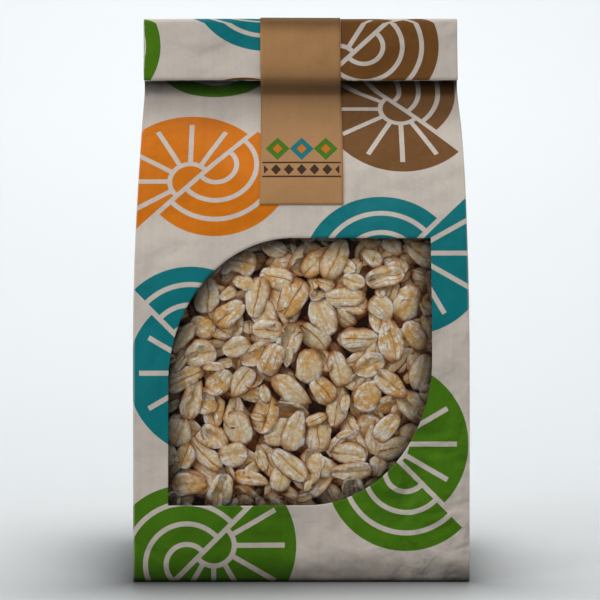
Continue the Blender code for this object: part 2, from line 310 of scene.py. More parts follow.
# The paper's dents and creases: what they are, seed, how many, size, depth, and where if not all over
RELIEF = (
    (soft_dents, 11, 80, 11 * MM, 0.56 * MM, None),
    (soft_dents, 12, 170, 4.5 * MM, 0.15 * MM, None),
    (soft_dents, 15, 22, 6.5 * MM, 0.42 * MM, DENTED_PART),
    (crease_lines, 13, 80, 13 * MM, 0.20 * MM, None),
    (crease_lines, 14, 9, 11 * MM, 0.34 * MM, DENTED_PART),
)


def paper_relief(u, z):
    """How far the paper stands out by its dents and creases, at a place on the unrolled sheet.

    It is one field all round the sheet, brought down to nothing near the bottom edge and the neck. Where the
    sheet laps over its other end, on the back, it rises softly and ends in a step at the glued edge.
    """
    u, z = np.broadcast_arrays(u, z)
    wrapped, v = np.where(u > 3 * HALF_WIDTH + 2 * HALF_DEPTH, u - UNROLLED, u), climb_length(z)
    everywhere = (LEFT_SIDE_START, LEFT_SIDE_START + UNROLLED, 0.0, climb_length(NECK_Z))
    relief = np.zeros_like(v)
    for field, seed, count, size, depth, part in RELIEF:
        relief += field(wrapped, v, seed, count, size, depth, part or everywhere)
    lap = smooth_step(wrapped, SEAM_AT - LAP_WIDTH, SEAM_AT - 0.6 * LAP_WIDTH) * (wrapped < SEAM_AT - 0.5 * MM)
    relief = RELIEF_LIMIT * np.tanh(relief / RELIEF_LIMIT) + LAP_HEIGHT * lap
    return relief * smooth_step(z, 0.0, 14 * MM) * (1 - smooth_step(z, NECK_Z - 14 * MM, NECK_Z - 2 * MM))


def panel_weight(x):
    """Share of the relief across a front or back panel: 1 over most of it and 0 at its two edges."""
    return np.clip(1 - np.abs(x / (HALF_WIDTH - EDGE_ROUNDING)) ** 6, 0.0, 1.0)


def panel_surface(x, z, u):
    """Distance of a front or back panel from the middle plane with its relief, at a place u on the sheet."""
    return front_offset(x, z) + paper_relief(u, z) * panel_weight(x)


def waver(points):
    """Slow sway of the whole pack: each axis moves by a few sine waves of the place, none at the floor."""
    x, y, z = points[..., 0], points[..., 1], points[..., 2]
    lift = smooth_step(z, 0.0, 40 * MM)
    shift = np.zeros_like(points)
    shift[..., 0] = 0.35 * MM * lift * np.sin(z * 61 + 0.7) * np.sin(y * 40 + 1.1)
    shift[..., 1] = 0.30 * MM * lift * (np.sin(x * 95 + z * 38 + 0.4) + 0.6 * np.sin(x * 41 - z * 83))
    return points + shift


def cells(grid):
    """The four corners of each cell of a grid, in order round it."""
    return np.stack([grid[:-1, :-1], grid[:-1, 1:], grid[1:, 1:], grid[1:, :-1]], axis=2)


def add_grid(points, uvs, wrap=False, flip=False):
    """Vertices, quads and face-corner UVs of a grid of points; wrap joins its last column to the first."""
    index = np.arange(points.shape[0] * points.shape[1]).reshape(points.shape[:2])
    quads = cells(close_rows(index) if wrap else index).reshape(-1, 4)
    corners = cells(uvs).reshape(-1, 4, 2)
    if flip:
        quads, corners = quads[:, ::-1], corners[:, ::-1]
    return points.reshape(-1, 3), quads, corners


def join_grids(grids):
    """One set of vertices, quads and UVs out of several grids."""
    starts = np.cumsum([0] + [len(points) for points, _, _ in grids])
    vertices, quads, corners = zip(*grids)
    quads = [faces + start for faces, start in zip(quads, starts)]
    return np.concatenate(vertices), np.concatenate(quads), np.concatenate(corners)


def close_rows(rows):
    """Rows of points or UVs with their first column once more at the end."""
    return np.concatenate([rows, rows[:, :1]], axis=1)


def split_at_seam(points, uvs, first=0, flip=False):
    """Two grids, up to the sheet's glued edge and past it, where the UVs begin again."""
    before, after = slice(first, SEAM_COLUMN + 1), slice(SEAM_COLUMN, None)
    return (add_grid(points[:, before], uvs[:, before], flip=flip),
            add_grid(points[:, after], uvs[:, after] - (1.0, 0.0), flip=flip))


def make_piece(name, vertices, quads, corners, others=(), weld=0.0):
    """A mesh object from vertices, quads, other faces and face-corner UVs, its doubles merged within weld."""
    mesh = bpy.data.meshes.new(name)
    mesh.from_pydata(vertices.tolist(), [], [*quads.tolist(), *others])
    layer = mesh.uv_layers.new(name="unrolled")
    layer.data.foreach_set("uv", np.ascontiguousarray(corners, dtype=np.float32).ravel())
    if weld:
        shape = bmesh.new()
        shape.from_mesh(mesh)
        bmesh.ops.remove_doubles(shape, verts=shape.verts, dist=weld)
        bmesh.ops.dissolve_degenerate(shape, edges=shape.edges, dist=weld)
        shape.to_mesh(mesh)
        shape.free()
    mesh.validate()
    mesh.shade_smooth()
    piece = bpy.data.objects.new(name, mesh)
    bpy.context.scene.collection.objects.link(piece)
    return piece


def set_point_values(piece, name, values):
    """Stores one number for each vertex, which a material reads by its name."""
    layer = piece.data.attributes.new(name, "FLOAT", "POINT")
    layer.data.foreach_set("value", np.asarray(values, dtype=np.float32))


def point_places(piece):
    """The places of a piece's vertices, one row for each."""
    places = np.empty(len(piece.data.vertices) * 3, dtype=np.float32)
    piece.data.vertices.foreach_get("co", places)
    return places.reshape(-1, 3).astype(float)


def thicken(piece, thickness, offset=-1.0):
    """Gives a sheet its thickness: on its inner side at offset -1, on its outer side at offset 1."""
    wall = piece.modifiers.new("Paper thickness", "SOLIDIFY")
    wall.thickness = thickness
    wall.offset = offset
    wall.use_even_offset = False


def dress(piece, material, slot, *nodes):
    """Gives a piece its material and body, and hides the solids of the nodes that it stands for. The slot is not used.
    """
    piece.data.materials.append(material)
    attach(piece, BODY)
    for node in nodes:
        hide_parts(node)


def math_method(operation, swapped=False):
    """A method of Value that adds one math node."""
    def method(self, *others):
        return self.wires.math(operation, *((*others, self) if swapped else (self, *others)))
    return method


class Value:
    """What a shader node puts out. Its operators add math nodes to the same tree."""

    def __init__(self, wires, socket):
        self.wires = wires
        self.socket = socket

    __add__ = math_method("ADD")
    __sub__ = math_method("SUBTRACT")
    __rsub__ = math_method("SUBTRACT", swapped=True)
    __mul__ = math_method("MULTIPLY")
    __truediv__ = math_method("DIVIDE")
    __mod__ = math_method("MODULO")
    __pow__ = math_method("POWER")
    __lt__ = math_method("LESS_THAN")
    __gt__ = math_method("GREATER_THAN")
    __abs__ = math_method("ABSOLUTE")


class Wires:
    """Adds shader nodes to a tree and joins them. What it takes is a number, a tuple, a socket or a Value."""

    def __init__(self, tree):
        self.tree = tree

    def add(self, kind, **settings):
        node = self.tree.nodes.new(kind)
        for name, value in settings.items():
            setattr(node, name, value)
        return node

    def join(self, socket, value):
        if isinstance(value, Value):
            value = value.socket
        if isinstance(value, bpy.types.NodeSocket):
            self.tree.links.new(value, socket)
        else:
            socket.default_value = value

    def fill(self, node, values, output=0):
        """Joins values to a node's inputs, by name or in order, and returns one of its outputs."""
        pairs = values.items() if isinstance(values, dict) else enumerate(values)
        for key, value in pairs:
            self.join(node.inputs[key], value)
        return Value(self, node.outputs[output])

    def math(self, operation, *values, clamp=False):
        return self.fill(self.add("ShaderNodeMath", operation=operation, use_clamp=clamp), values)

    def vector(self, operation, *values):
        output = "Value" if operation == "LENGTH" else "Vector"
        return self.fill(self.add("ShaderNodeVectorMath", operation=operation), values, output)

    def split(self, vector):
        node = self.add("ShaderNodeSeparateXYZ")
        self.join(node.inputs[0], vector)
        return [Value(self, output) for output in node.outputs]

    def combine(self, *values):
        return self.fill(self.add("ShaderNodeCombineXYZ"), values)

    def place(self):
        return Value(self, self.add("ShaderNodeTexCoord").outputs["Object"])

    def uv(self):
        return Value(self, self.add("ShaderNodeUVMap", uv_map="unrolled").outputs[0])

    def point_value(self, name):
        """A number that set_point_values stored on the piece."""
        return Value(self, self.add("ShaderNodeAttribute", attribute_name=name).outputs["Fac"])

    def band(self, value, start, end, low=0.0, high=1.0):
        """Maps value from start..end to low..high, smoothly and clamped."""
        values = {"Value": value, "From Min": start, "From Max": end, "To Min": low, "To Max": high}
        return self.fill(self.add("ShaderNodeMapRange", interpolation_type="SMOOTHSTEP"), values, "Result")

    def noise(self, vector, scale, detail=2.0, roughness=0.5, distortion=0.0):
        values = {"Vector": vector, "Scale": scale, "Detail": detail, "Roughness": roughness, "Distortion": distortion}
        return self.fill(self.add("ShaderNodeTexNoise"), values, "Fac")

    def mix(self, share, first, second, blend="MIX"):
        node = self.add("ShaderNodeMix", data_type="RGBA", blend_type=blend)
        self.join(node.inputs[0], share)
        for socket, colour in zip([socket for socket in node.inputs if socket.type == "RGBA"], (first, second)):
            self.join(socket, colour)
        return Value(self, [socket for socket in node.outputs if socket.type == "RGBA"][0])

    def dim(self, colour, factor):
        """A colour times one factor."""
        return self.mix(1.0, colour, self.combine(factor, factor, factor), "MULTIPLY")

    def steps(self, value, colours):
        """Picks one of several colours: value 0 to 1 is cut into equal constant steps."""
        node = self.add("ShaderNodeValToRGB")
        node.color_ramp.interpolation = "CONSTANT"
        stops = node.color_ramp.elements
        while len(stops) < len(colours):
            stops.new(0.5)
        for number, colour in enumerate(colours):
            stops[number].position = number / len(colours)
            stops[number].color = colour
        return self.fill(node, (value,))

    def bump(self, height, distance, strength=1.0, normal=None):
        values = {"Height": height, "Distance": distance, "Strength": strength}
        if normal is not None:
            values["Normal"] = normal
        return self.fill(self.add("ShaderNodeBump"), values, "Normal")


def new_material(name, **sockets):
    """A material with one Principled shader, whose plain values are set on its own sockets."""
    material = bpy.data.materials.new(name)
    material.use_nodes = True
    shader = material.node_tree.nodes["Principled BSDF"].inputs
    for socket, value in sockets.items():
        shader[socket.replace("_", " ")].default_value = value
    return material, Wires(material.node_tree), shader


def new_group(name, inputs, outputs):
    """A shader node group: its inputs are numbers, or vectors where the default is a tuple, its outputs numbers."""
    tree = bpy.data.node_groups.new(name, "ShaderNodeTree")
    for label, default in inputs.items():
        kind = "NodeSocketVector" if isinstance(default, tuple) else "NodeSocketFloat"
        tree.interface.new_socket(label, in_out="INPUT", socket_type=kind).default_value = default
    for label in outputs:
        tree.interface.new_socket(label, in_out="OUTPUT", socket_type="NodeSocketFloat")
    wires = Wires(tree)
    given = wires.add("NodeGroupInput").outputs
    return tree, wires, [Value(wires, given[label]) for label in inputs], wires.add("NodeGroupOutput").inputs


def place_group(wires, build, **inputs):
    """Adds the group that a function of the same name builds, which it does only once. Returns its outputs."""
    node = wires.add("ShaderNodeGroup", node_tree=bpy.data.node_groups.get(build.__name__) or build())
    wires.fill(node, inputs)
    return {output.name: Value(wires, output) for output in node.outputs}


def paper_fibre():
    """Tone and relief of uncoated paper: cloudy patches, fine fibres and long faint streaks."""
    tree, wires, (place, sheet, streaks), result = new_group(
        "paper_fibre", {"Place": (0, 0, 0), "Unrolled": (0, 0, 0), "Streaks": 1.0}, ("Tone", "Height", "Roughness"))
    cloud = wires.noise(place, 38.0, 4.0, 0.6)
    fibre = wires.noise(place, 900.0, 5.0, 0.65, 0.8)
    speck = wires.noise(place, 2600.0)
    streak = wires.noise(wires.vector("MULTIPLY", sheet, (330.0, 9.0, 1.0)), 1.0, 3.0, 0.6) * streaks
    wires.join(result["Tone"], cloud * 0.45 + fibre * 0.25 + streak * 0.30)
    wires.join(result["Height"], fibre * 0.7 + speck * 0.3)
    wires.join(result["Roughness"], wires.band(fibre, 0.3, 0.7, 0.52, 0.68))
    return tree


def paper_dents():
    """Height of handled paper, from 0 to about 1: soft hollows and bumps, with smaller ones on them."""
    tree, wires, (place, amount), result = new_group("paper_dents", {"Place": (0, 0, 0), "Amount": 1.0}, ("Height",))
    small = wires.noise(place, 175.0, 2.0, 0.5, 0.3)
    wires.join(result["Height"], (small * 0.22 + wires.noise(place, 62.0, 1.5, 0.45, 0.6)) * amount)
    return tree


def split_discs():
    """Print of discs cut in two halves that are shifted apart, one with arcs and one with spokes.

    The sheet is cut into square cells, each second column half a cell higher. In a cell the place is turned by
    quarter turns, and the sign of y picks the half. Its lines are where the distance from the centre, or from
    the nearest spoke, is less than half a line.
    """
    tree, wires, (sheet, cell, radius, line), result = new_group(
        "split_discs", {"Unrolled": (0, 0, 0), "Cell": 60.0, "Radius": 24.0, "Line": 1.5}, ("Ink", "Pick"))
    u, v, _ = wires.split(sheet)
    across = u / cell
    column = wires.math("FLOOR", across)
    up = v / cell + abs(column) % 2.0 * 0.5
    row = wires.math("FLOOR", up)
    in_cell = [(wires.math("FRACT", value) - 0.5) * cell for value in (across, up)]
    turn = abs(column * 3.0 + row) % 4.0 * (math.pi / 2) + math.pi / 4
    turned = wires.add("ShaderNodeVectorRotate", rotation_type="Z_AXIS")
    x, y, _ = wires.split(wires.fill(turned, {"Vector": wires.combine(*in_cell), "Angle": turn}))
    side = wires.math("SIGN", y)
    half_line = line * 0.5
    along, rise = x + side * (radius * 0.2), abs(y) - half_line
    reach = wires.vector("LENGTH", wires.combine(along, rise))

    ring_step = radius / 4.0
    arcs = ((reach + half_line) % ring_step < line) * (reach > line)
    from_spoke = SPOKE_ANGLE - wires.math("PINGPONG", wires.math("ARCTAN2", rise, along), SPOKE_ANGLE)
    spokes = reach * wires.math("SINE", from_spoke) < half_line
    spokes = spokes * ((reach > ring_step) * (reach < radius * 0.86))
    spokes = wires.math("MAXIMUM", spokes, abs(reach - ring_step) < half_line)
    upper = side > 0.0
    paper = 1.0 - (arcs * upper + spokes * (1.0 - upper))
    inside = (reach < radius) * (rise > 0.0)
    wires.join(result["Ink"], wires.math("MULTIPLY", inside, paper, clamp=True))
    inks = float(len(INK_ORDER))
    pick = (column * 2.0 + row * 3.0 + 11 * inks) % inks
    wires.join(result["Pick"], (pick + 0.5) / inks)
    return tree


def paper_base(name, streaks):
    """What both papers share: a material with its sheet, object places and fibres."""
    material, wires, shader = new_material(name, Specular_IOR_Level=0.12)
    sheet = wires.vector("MULTIPLY", wires.uv(), (UNROLLED, UNROLLED, 0.0))
    place = wires.place()
    fibre = place_group(wires, paper_fibre, Place=place, Unrolled=sheet, Streaks=streaks)
    wires.join(shader["Roughness"], fibre["Roughness"])
    return material, wires, shader, wires.vector("MULTIPLY", sheet, (1000.0, 1000.0, 0.0)), place, fibre


def bag_paper_material(colours):
    """Off-white paper with printed split discs, paler along the folded edges, with a painted shadow that makes it
    darker at the glued edge and the painted shade that is stored on the piece.

    A side's creases are its middle line and the two slanting lines where height plus distance from the middle is
    half the depth.
    """
    material, wires, shader, millimetres, place, fibre = paper_base("bag_paper", 1.0)
    shifted = wires.vector("ADD", millimetres, PRINT_SHIFT)
    print_ = place_group(wires, split_discs, Unrolled=shifted, Cell=PRINT_CELL, Radius=PRINT_RADIUS, Line=PRINT_LINE)
    ink = wires.steps(print_["Pick"], [(*getattr(colours, name), 1.0) for name in INK_ORDER])
    tone = wires.band(fibre["Tone"], 0.35, 0.65, 0.90, 1.06)
    rubbed = print_["Ink"] * wires.band(fibre["Height"], 0.25, 0.42, 0.90, 1.0)
    printed = wires.mix(rubbed, wires.dim((*colours.paper, 1.0), tone), wires.dim(ink, tone))

    u, v, _ = wires.split(millimetres)
    to_right = u + 1000 * UV_START
    half_side = 1000 * HALF_DEPTH
    from_side = abs(abs(to_right) - 1000 * (HALF_WIDTH + HALF_DEPTH))
    slant = abs(v + from_side - half_side)
    creased = wires.math("MAXIMUM", wires.band(from_side, 0.1, 0.9, 1.0, 0.0), wires.band(slant, 0.1, 1.1, 0.8, 0.0))
    creased = creased * (from_side < half_side - 0.5)
    edges = wires.band(abs(from_side - half_side), 0.15, 0.75, 0.35, 0.0)
    worn_paper = (*[min(1, value * 1.12) for value in colours.paper], 1.0)
    colour = wires.mix(wires.math("MAXIMUM", edges, creased * 0.30), printed, worn_paper)
    # Painted shade: the shade stored by paper_shade, times a painted shadow along the glued edge.
    from_seam = wires.math("PINGPONG", u, 500 * UNROLLED)
    shade = wires.point_value("shade") * wires.band(from_seam, 0.0, 0.9, 0.62, 1.0)
    wires.join(shader["Base Color"], wires.dim(colour, shade))

    handled = wires.band(to_right, 5.0, 34.0) * wires.band(v, 92.0, 48.0)
    dents = place_group(wires, paper_dents, Place=place, Amount=handled * 0.85 + 0.45)
    folded = wires.bump(creased, CREASE_HEIGHT, 0.8, wires.bump(dents["Height"], DENT_HEIGHT))
    wires.join(shader["Normal"], wires.bump(fibre["Height"], FIBRE_HEIGHT, 0.6, folded))
    return material


def kraft_material(colours):
    """Brown kraft paper with two thin rules and lozenges between them and above, in the strip's own measure."""
    material, wires, shader, millimetres, place, fibre = paper_base("strip_kraft", 0.6)
    u, v, _ = wires.split(millimetres)
    colour = wires.dim((*colours.kraft, 1.0), wires.band(fibre["Tone"], 0.25, 0.65, 0.86, 1.10))
    for middle, wide, high, pitch, reach, ink in STRIP_ORNAMENT:
        across = abs((wires.math("FRACT", u / pitch + 0.5) - 0.5) * pitch) / wide
        kept = (across + abs(v - middle) / high < 1.0) * (abs(u) < reach)
        colour = wires.mix(kept, colour, (*getattr(colours, ink), 1.0))
    # Painted shade: the strip's stored shade darkens its colour under the flap and at the fold's top.
    wires.join(shader["Base Color"], wires.dim(colour, wires.point_value("shade")))
    dents = place_group(wires, paper_dents, Place=place, Amount=0.22)
    dented = wires.bump(dents["Height"], DENT_HEIGHT)
    wires.join(shader["Normal"], wires.bump(fibre["Height"], FIBRE_HEIGHT, 0.6, dented))
    return material


def film_material():
    """Clear film: nearly all light goes straight through, more of it glances off at a low angle."""
    material, wires, shader = new_material(
        "clear_film", Base_Color=(0.12, 0.12, 0.12, 1.0), Roughness=0.10, Specular_IOR_Level=0.8)
    facing = wires.fill(wires.add("ShaderNodeLayerWeight"), {"Blend": 0.25}, "Facing")
    wires.join(shader["Alpha"], wires.band(facing, 0.0, 1.0, 0.02, 0.36))
    wires.join(shader["Normal"], wires.bump(wires.noise(wires.place(), 45.0, 2.0, 0.5, 0.5), 0.0012, 0.5))
    return material


def oat_material(colours):
    """One oat flake from its own UV map: pale starch, golden bran towards the rim, and lengthwise creases.

    Painted shade deep down is warm: each of the three colours is dimmed by its own power of it.
    """
    material, wires, shader = new_material("oat_flake", Specular_IOR_Level=0.25, Roughness=0.62)
    pale, white, gold, bran, crease = (
        (*getattr(colours, "oat_" + name), 1.0) for name in ("pale", "white", "gold", "bran", "crease"))
    place, tone = wires.place(), wires.point_value("tone")
    along, across, _ = wires.split(wires.vector("SUBTRACT", wires.uv(), (0.5, 0.5, 0.0)))
    wobble = (wires.noise(place, 380.0, 3.0, 0.6) - 0.5) * 0.13
    from_middle = abs(across + wobble)
    from_side = abs(from_middle - (tone * 0.08 + 0.15))
    reach = wires.vector("LENGTH", wires.combine(along, across))
    grain = wires.noise(place, 800.0, 4.0, 0.65)
    patch = wires.noise(place, 210.0, 3.0, 0.6, 0.4)
    floury = wires.noise(place, 330.0, 4.0, 0.7)

    line = wires.band(from_middle, 0.004, 0.034, 1.0, 0.0) * wires.band(reach, 0.34, 0.49, 1.0, 0.35)
    line = line * wires.band(wires.math("FRACT", tone * 7.3), 0.25, 0.55, 0.1, 1.0)
    line = line * wires.band(patch, 0.34, 0.52, 0.25, 1.0)
    halo = wires.band(from_middle, 0.02, 0.145, 1.0, 0.0) * wires.band(grain, 0.25, 0.6, 0.7, 1.0)
    sides = wires.band(from_side, 0.004, 0.035, 1.0, 0.0) * wires.band(floury, 0.46, 0.60)
    rim = wires.band(reach + wobble * 0.5, 0.33, 0.48)
    rim_colour = wires.mix(wires.band(wires.noise(place, 150.0), 0.40, 0.53), white, bran)
    colour = wires.mix(wires.band(patch + (tone * 0.34 - 0.17), 0.53, 0.70), pale, gold)
    for share, layer in (
        (wires.band(floury, 0.49, 0.60, 0.0, 0.95), white),
        (halo * 0.62, gold),
        (rim * 0.84, rim_colour),
        (sides * 0.62, bran),
        (line * 0.78, crease),
        # Painted contact shadow: the outermost edge of each flake is darkened towards the crease colour.
        (wires.band(reach, 0.450, 0.496, 0.0, 0.70), crease),
    ):
        colour = wires.mix(share, colour, layer)
    # Painted shade: the stored deep and shade values darken the colour between the flakes and near the window's edge.
    deep = wires.point_value("deep") * wires.band(grain, 0.30, 0.70, 0.82, 1.14)
    shade = wires.point_value("shade")
    warm = [deep**power * shade for power in WARM_POWERS]
    wires.join(shader["Base Color"], wires.mix(1.0, colour, wires.combine(*warm), "MULTIPLY"))
    height = grain * 0.5 + floury * 0.5 - (line * 0.5 + sides * 0.4)
    wires.join(shader["Normal"], wires.bump(height, 0.00028, 0.9))
    return material


def heap_core_material(colours):
    """The ground of broken flakes and bran between the flakes on top, painted dark brown as the shade deep in the
    gaps.
    """
    material, wires, shader = new_material("oat_ground", Specular_IOR_Level=0.2, Roughness=0.75)
    crumbs = wires.noise(wires.place(), 420.0, 5.0, 0.7)
    # Painted shade: both colours are the crease colour dimmed, darker than any flake.
    dark, light = ((*[share * value for value in colours.oat_crease], 1.0) for share in (0.36, 0.7))
    wires.join(shader["Base Color"], wires.mix(wires.band(crumbs, 0.50, 0.74), dark, light))
    wires.join(shader["Normal"], wires.bump(crumbs, 0.0006))
    return material


def neck_bend(share, offset):
    """Place (y, z) on the folded top for a row share of 0 to 3 and an offset from the sheet's middle layer.

    Share 0 to 1 goes straight up from the neck, 1 to 2 is half a circle about an axis in front of the neck, and
    2 to 3 goes down again as the flap, which leans outwards by a power of the way down. The circle's radius grows
    with the offset, so the layers stay apart.
    """
    axis_y = -(NECK_HALF + FOLD_CLEARANCE)
    axis_z = PACK_TOP - (2 * NECK_HALF + FOLD_CLEARANCE)
    radius = offset - axis_y
    up, turn, down = np.clip(share, 0, 1), np.clip(share - 1, 0, 1), np.clip(share - 2, 0, 1)
    y = axis_y + radius * np.cos(np.pi * turn) - FLAP_SPLAY * down**1.4
    z = NECK_Z + (axis_z - NECK_Z) * up + radius * np.sin(np.pi * turn) - (axis_z - FLAP_END_Z) * down
    return y, z


def fold_shares(rows, end=3.0):
    """Row shares of the folded top, as neck_bend takes them, from the number of rows in each of its parts."""
    return np.concatenate([np.linspace(part, min(part + 1, end), count + 1)[1:] for part, count in enumerate(rows)])


def section_points(z):
    """One closed section round the pack at a height: (points x and y, unrolled distance, panel weight, outward x, y).

    The front and back panels are parabolas, the side panels are V folds, and the edge between two panels is a
    quadratic Bezier curve from one to the other. Where the neck is pressed flat, the flanks of the V lie close
    to the middle plane, by a high power. The weight is 0 at a panel's edges and 1 over most of it.
    """
    depth = float(half_depth(z))
    cut = EDGE_ROUNDING / math.hypot(depth, float(gusset_depth(z)))
    across = np.linspace(-1, 1, FRONT_COLUMNS + 1) * (HALF_WIDTH - EDGE_ROUNDING)
    front = np.stack([across, -front_offset(across, z)], axis=1)
    shares = np.linspace(-1 + cut, 1 - cut, SIDE_COLUMNS + 1)
    flat = float(smooth_step(z, PRESSED_Z, PINCH_Z))
    spread = (1 - flat) * shares + flat * (0.1 * shares + 0.9 * shares**21)
    side = np.stack([side_offset(shares, z), spread * depth], axis=1)
    corner = np.array([HALF_WIDTH, -depth])
    steps = np.linspace(0, 1, CORNER_STEPS + 1)[1:-1]
    front_corner = bezier(front[-1], corner, side[0], steps[:, None])
    back_corner = bezier(side[-1], corner * (1, -1), front[-1] * (1, -1), steps[:, None])
    half = np.concatenate([front, front_corner, side, back_corner])
    u_corner = HALF_WIDTH + EDGE_ROUNDING * (2 * steps - 1)
    u = np.concatenate([across, u_corner, HALF_WIDTH + HALF_DEPTH * (1 + shares), u_corner + 2 * HALF_DEPTH])
    quiet = np.zeros(len(steps))
    weight = np.concatenate([panel_weight(across), quiet, 1 - np.abs(shares / (1 - cut)) ** 4, quiet])
    out = np.zeros_like(half)
    out[: len(front), 1] = -1
    out[len(front) + len(steps): -len(steps), 0] = 1
    halves = (half, -half), (u, u + HALF_ROUND), (weight, weight), (out, -out)
    return [np.concatenate(pair) for pair in halves]


def body_tube():
    """The paper round the pack, from the bottom edge over the neck to the flap's end, as rows of sections.

    Returns points (rows, columns, 3), the first row's unrolled distances (columns) and the rows' heights on the
    sheet.
    """
    levels = np.linspace(BOTTOM_ROUNDING, NECK_Z, BODY_ROWS + 1)
    flat, us, weights, outs = (np.array(rows) for rows in zip(*(section_points(z) for z in levels)))
    relief = paper_relief(us, levels[:, None]) * weights
    flat = flat + outs * relief[..., None]
    points = np.concatenate([flat, np.broadcast_to(levels[:, None, None], (*flat.shape[:2], 1))], axis=2)
    shares = fold_shares(FOLD_ROWS)
    y, z = neck_bend(shares[:, None], points[-1, None, :, 1])
    top = np.stack([np.broadcast_to(points[-1, None, :, 0], y.shape), y, z], axis=2)
    heights = np.concatenate([climb_length(levels), climb_length(NECK_Z) + shares * (PACK_TOP - NECK_Z)])
    return np.concatenate([points, top]), us[0], heights


def sheet_uv(u, v):
    """UV of the unrolled sheet: one unit is the paper's width once round the pack."""
    return np.stack(np.broadcast_arrays((u - UV_START) / UNROLLED, v / UNROLLED), axis=-1)


def resample(points, count):
    """count + 1 points at equal distances along a line of points."""
    steps = np.concatenate([[0.0], np.cumsum(np.linalg.norm(np.diff(points, axis=0), axis=1))])
    at = np.linspace(0, steps[-1], count + 1)
    return np.stack([np.interp(at, steps, points[:, axis]) for axis in (0, 1)], axis=1)


def window_box(grow):
    """The window's left, right, bottom and top, and its curves' half width and half height, all let out by grow."""
    return (WINDOW_LEFT - grow, WINDOW_RIGHT + grow, WINDOW_BOTTOM - grow, WINDOW_TOP + grow,
            WINDOW_CURVE_WIDTH + grow, WINDOW_CURVE_HEIGHT + grow)


def window_sides(grow=0.0):
    """The window's outline (x, z) as four runs: bottom, right, top and left, cut where the curves are half way.

    A curve is a quarter ellipse, centre plus half widths times cosine and sine.
    """
    left, right, low, high, wide, tall = window_box(grow)

    def curve(centre, start, end):
        angles = np.radians(np.linspace(start, end, 60))
        return np.stack([centre[0] + wide * np.cos(angles), centre[1] + tall * np.sin(angles)], axis=1)

    lower, upper = (right - wide, low + tall), (left + wide, high - tall)
    return (
        np.concatenate([[[left, low]], curve(lower, -90, -45)]),
        np.concatenate([curve(lower, -45, 0), [[right, high]]]),
        np.concatenate([[[right, high]], curve(upper, 90, 135)]),
        np.concatenate([curve(upper, 135, 180), [[left, low]]]),
    )


def window_outline(grow=0.0):
    """The window's outline as one closed ring, with as many points on each side as the panel's border."""
    counts = (FRONT_COLUMNS, BODY_ROWS, FRONT_COLUMNS, BODY_ROWS)
    return np.concatenate([resample(run, count)[:-1] for run, count in zip(window_sides(grow), counts)])


def inside_window(x, z):
    """True where a point lies in the window: in its box, and in the ellipse where it is past the ellipse's centre."""
    left, right, low, high, wide, tall = window_box(0.0)
    lower_x, lower_z = (x - (right - wide)) / wide, (z - (low + tall)) / tall
    upper_x, upper_z = (x - (left + wide)) / wide, (z - (high - tall)) / tall
    inside = (x > left) & (x < right) & (z > low) & (z < high)
    inside &= ~((lower_x > 0) & (lower_z < 0) & (lower_x**2 + lower_z**2 > 1))
    return inside & ~((upper_x < 0) & (upper_z > 0) & (upper_x**2 + upper_z**2 > 1))


def window_distance(x, z):
    """Distance from points to the window's edge, positive inside it, by the nearest of its outline's points."""
    nearest = np.full(np.shape(x), np.inf)
    for point in np.concatenate([resample(run, 90) for run in window_sides()]):
        nearest = np.minimum(nearest, np.hypot(x - point[0], z - point[1]))
    return nearest * np.where(inside_window(x, z), 1, -1)


def paper_shade(points):
    """Painted shade on the paper: a painted contact shadow, darker down to the floor, and a painted shadow on the
    front right under the flap.

    Each is a product of two smooth steps of the height, a short deep one and a long faint one. The flap's
    outside, the back panel folded forward, keeps its light.
    """
    x, y, z = points.T
    # The base's underside is instead dimmed evenly, a milder painted shade.
    underside = (z < BOTTOM_STEP + 0.1 * MM) & (np.abs(x) < HALF_WIDTH - MM) & (np.abs(y) < HALF_DEPTH - 0.9 * MM)
    # Painted contact shadow down to the floor.
    low = smooth_step(z, 0.0, 2.0 * MM, 0.10) * smooth_step(z, 0.6 * MM, 10 * MM, 0.42)
    # Painted shadow of the flap on the front, below its end.
    drop = FLAP_END_Z - z
    under = smooth_step(drop, 0.3 * MM, 5 * MM, 0.12) * smooth_step(drop, 2 * MM, 22 * MM, 0.55)
    return np.where(underside, 0.75, low * np.where((y < 0) & (z < NECK_Z), under, 1.0))


def strip_shade(points):
    """Painted shade on the strip: deepest where it dips under the flap, and darker towards the fold's top.

    Below the dip it is a bell curve of the height times a smooth step, above it 1 minus a fading exponential.
    """
    _, y, z = points.T
    dip = 0.60 * np.exp(-(((z - STRIP_DIP_Z) / (5 * MM)) ** 2))
    below = smooth_step(STRIP_DIP_Z - z, 2 * MM, 30 * MM, 0.70, 0.91)
    above = 1 - 0.72 * np.exp(-((np.maximum(z - STRIP_DIP_Z, 0.0) / (4.2 * MM)) ** 1.2))
    front = np.where(z < STRIP_DIP_Z, (1 - dip) * below, above)
    return np.where(y < 0, front, 1.0) * smooth_step(PACK_TOP - z, 0.0, 6 * MM, 0.40)


def front_panel(tube):
    """The front panel as rings from the window's edge out to the panel's border.

    A point is the window's point plus a share of the way to the border's point of the same number. The border
    is the tube's own, and inside it the depth is panel_surface.
    """
    right, top = FRONT_COLUMNS, BODY_ROWS
    border = np.concatenate([tube[0, :right], tube[:top, right], tube[top, right:0:-1], tube[top:0:-1, 0]])
    hole = window_outline()
    shares = np.linspace(0, 1, WINDOW_RINGS + 1)[:, None] ** 1.15
    x = hole[:, 0] + (border[:, 0] - hole[:, 0]) * shares
    z = hole[:, 1] + (border[:, 2] - hole[:, 1]) * shares
    points = np.stack([x, -panel_surface(x, z, x), z], axis=2)
    points[-1] = border
    return points, close_rows(sheet_uv(x, climb_length(z)))


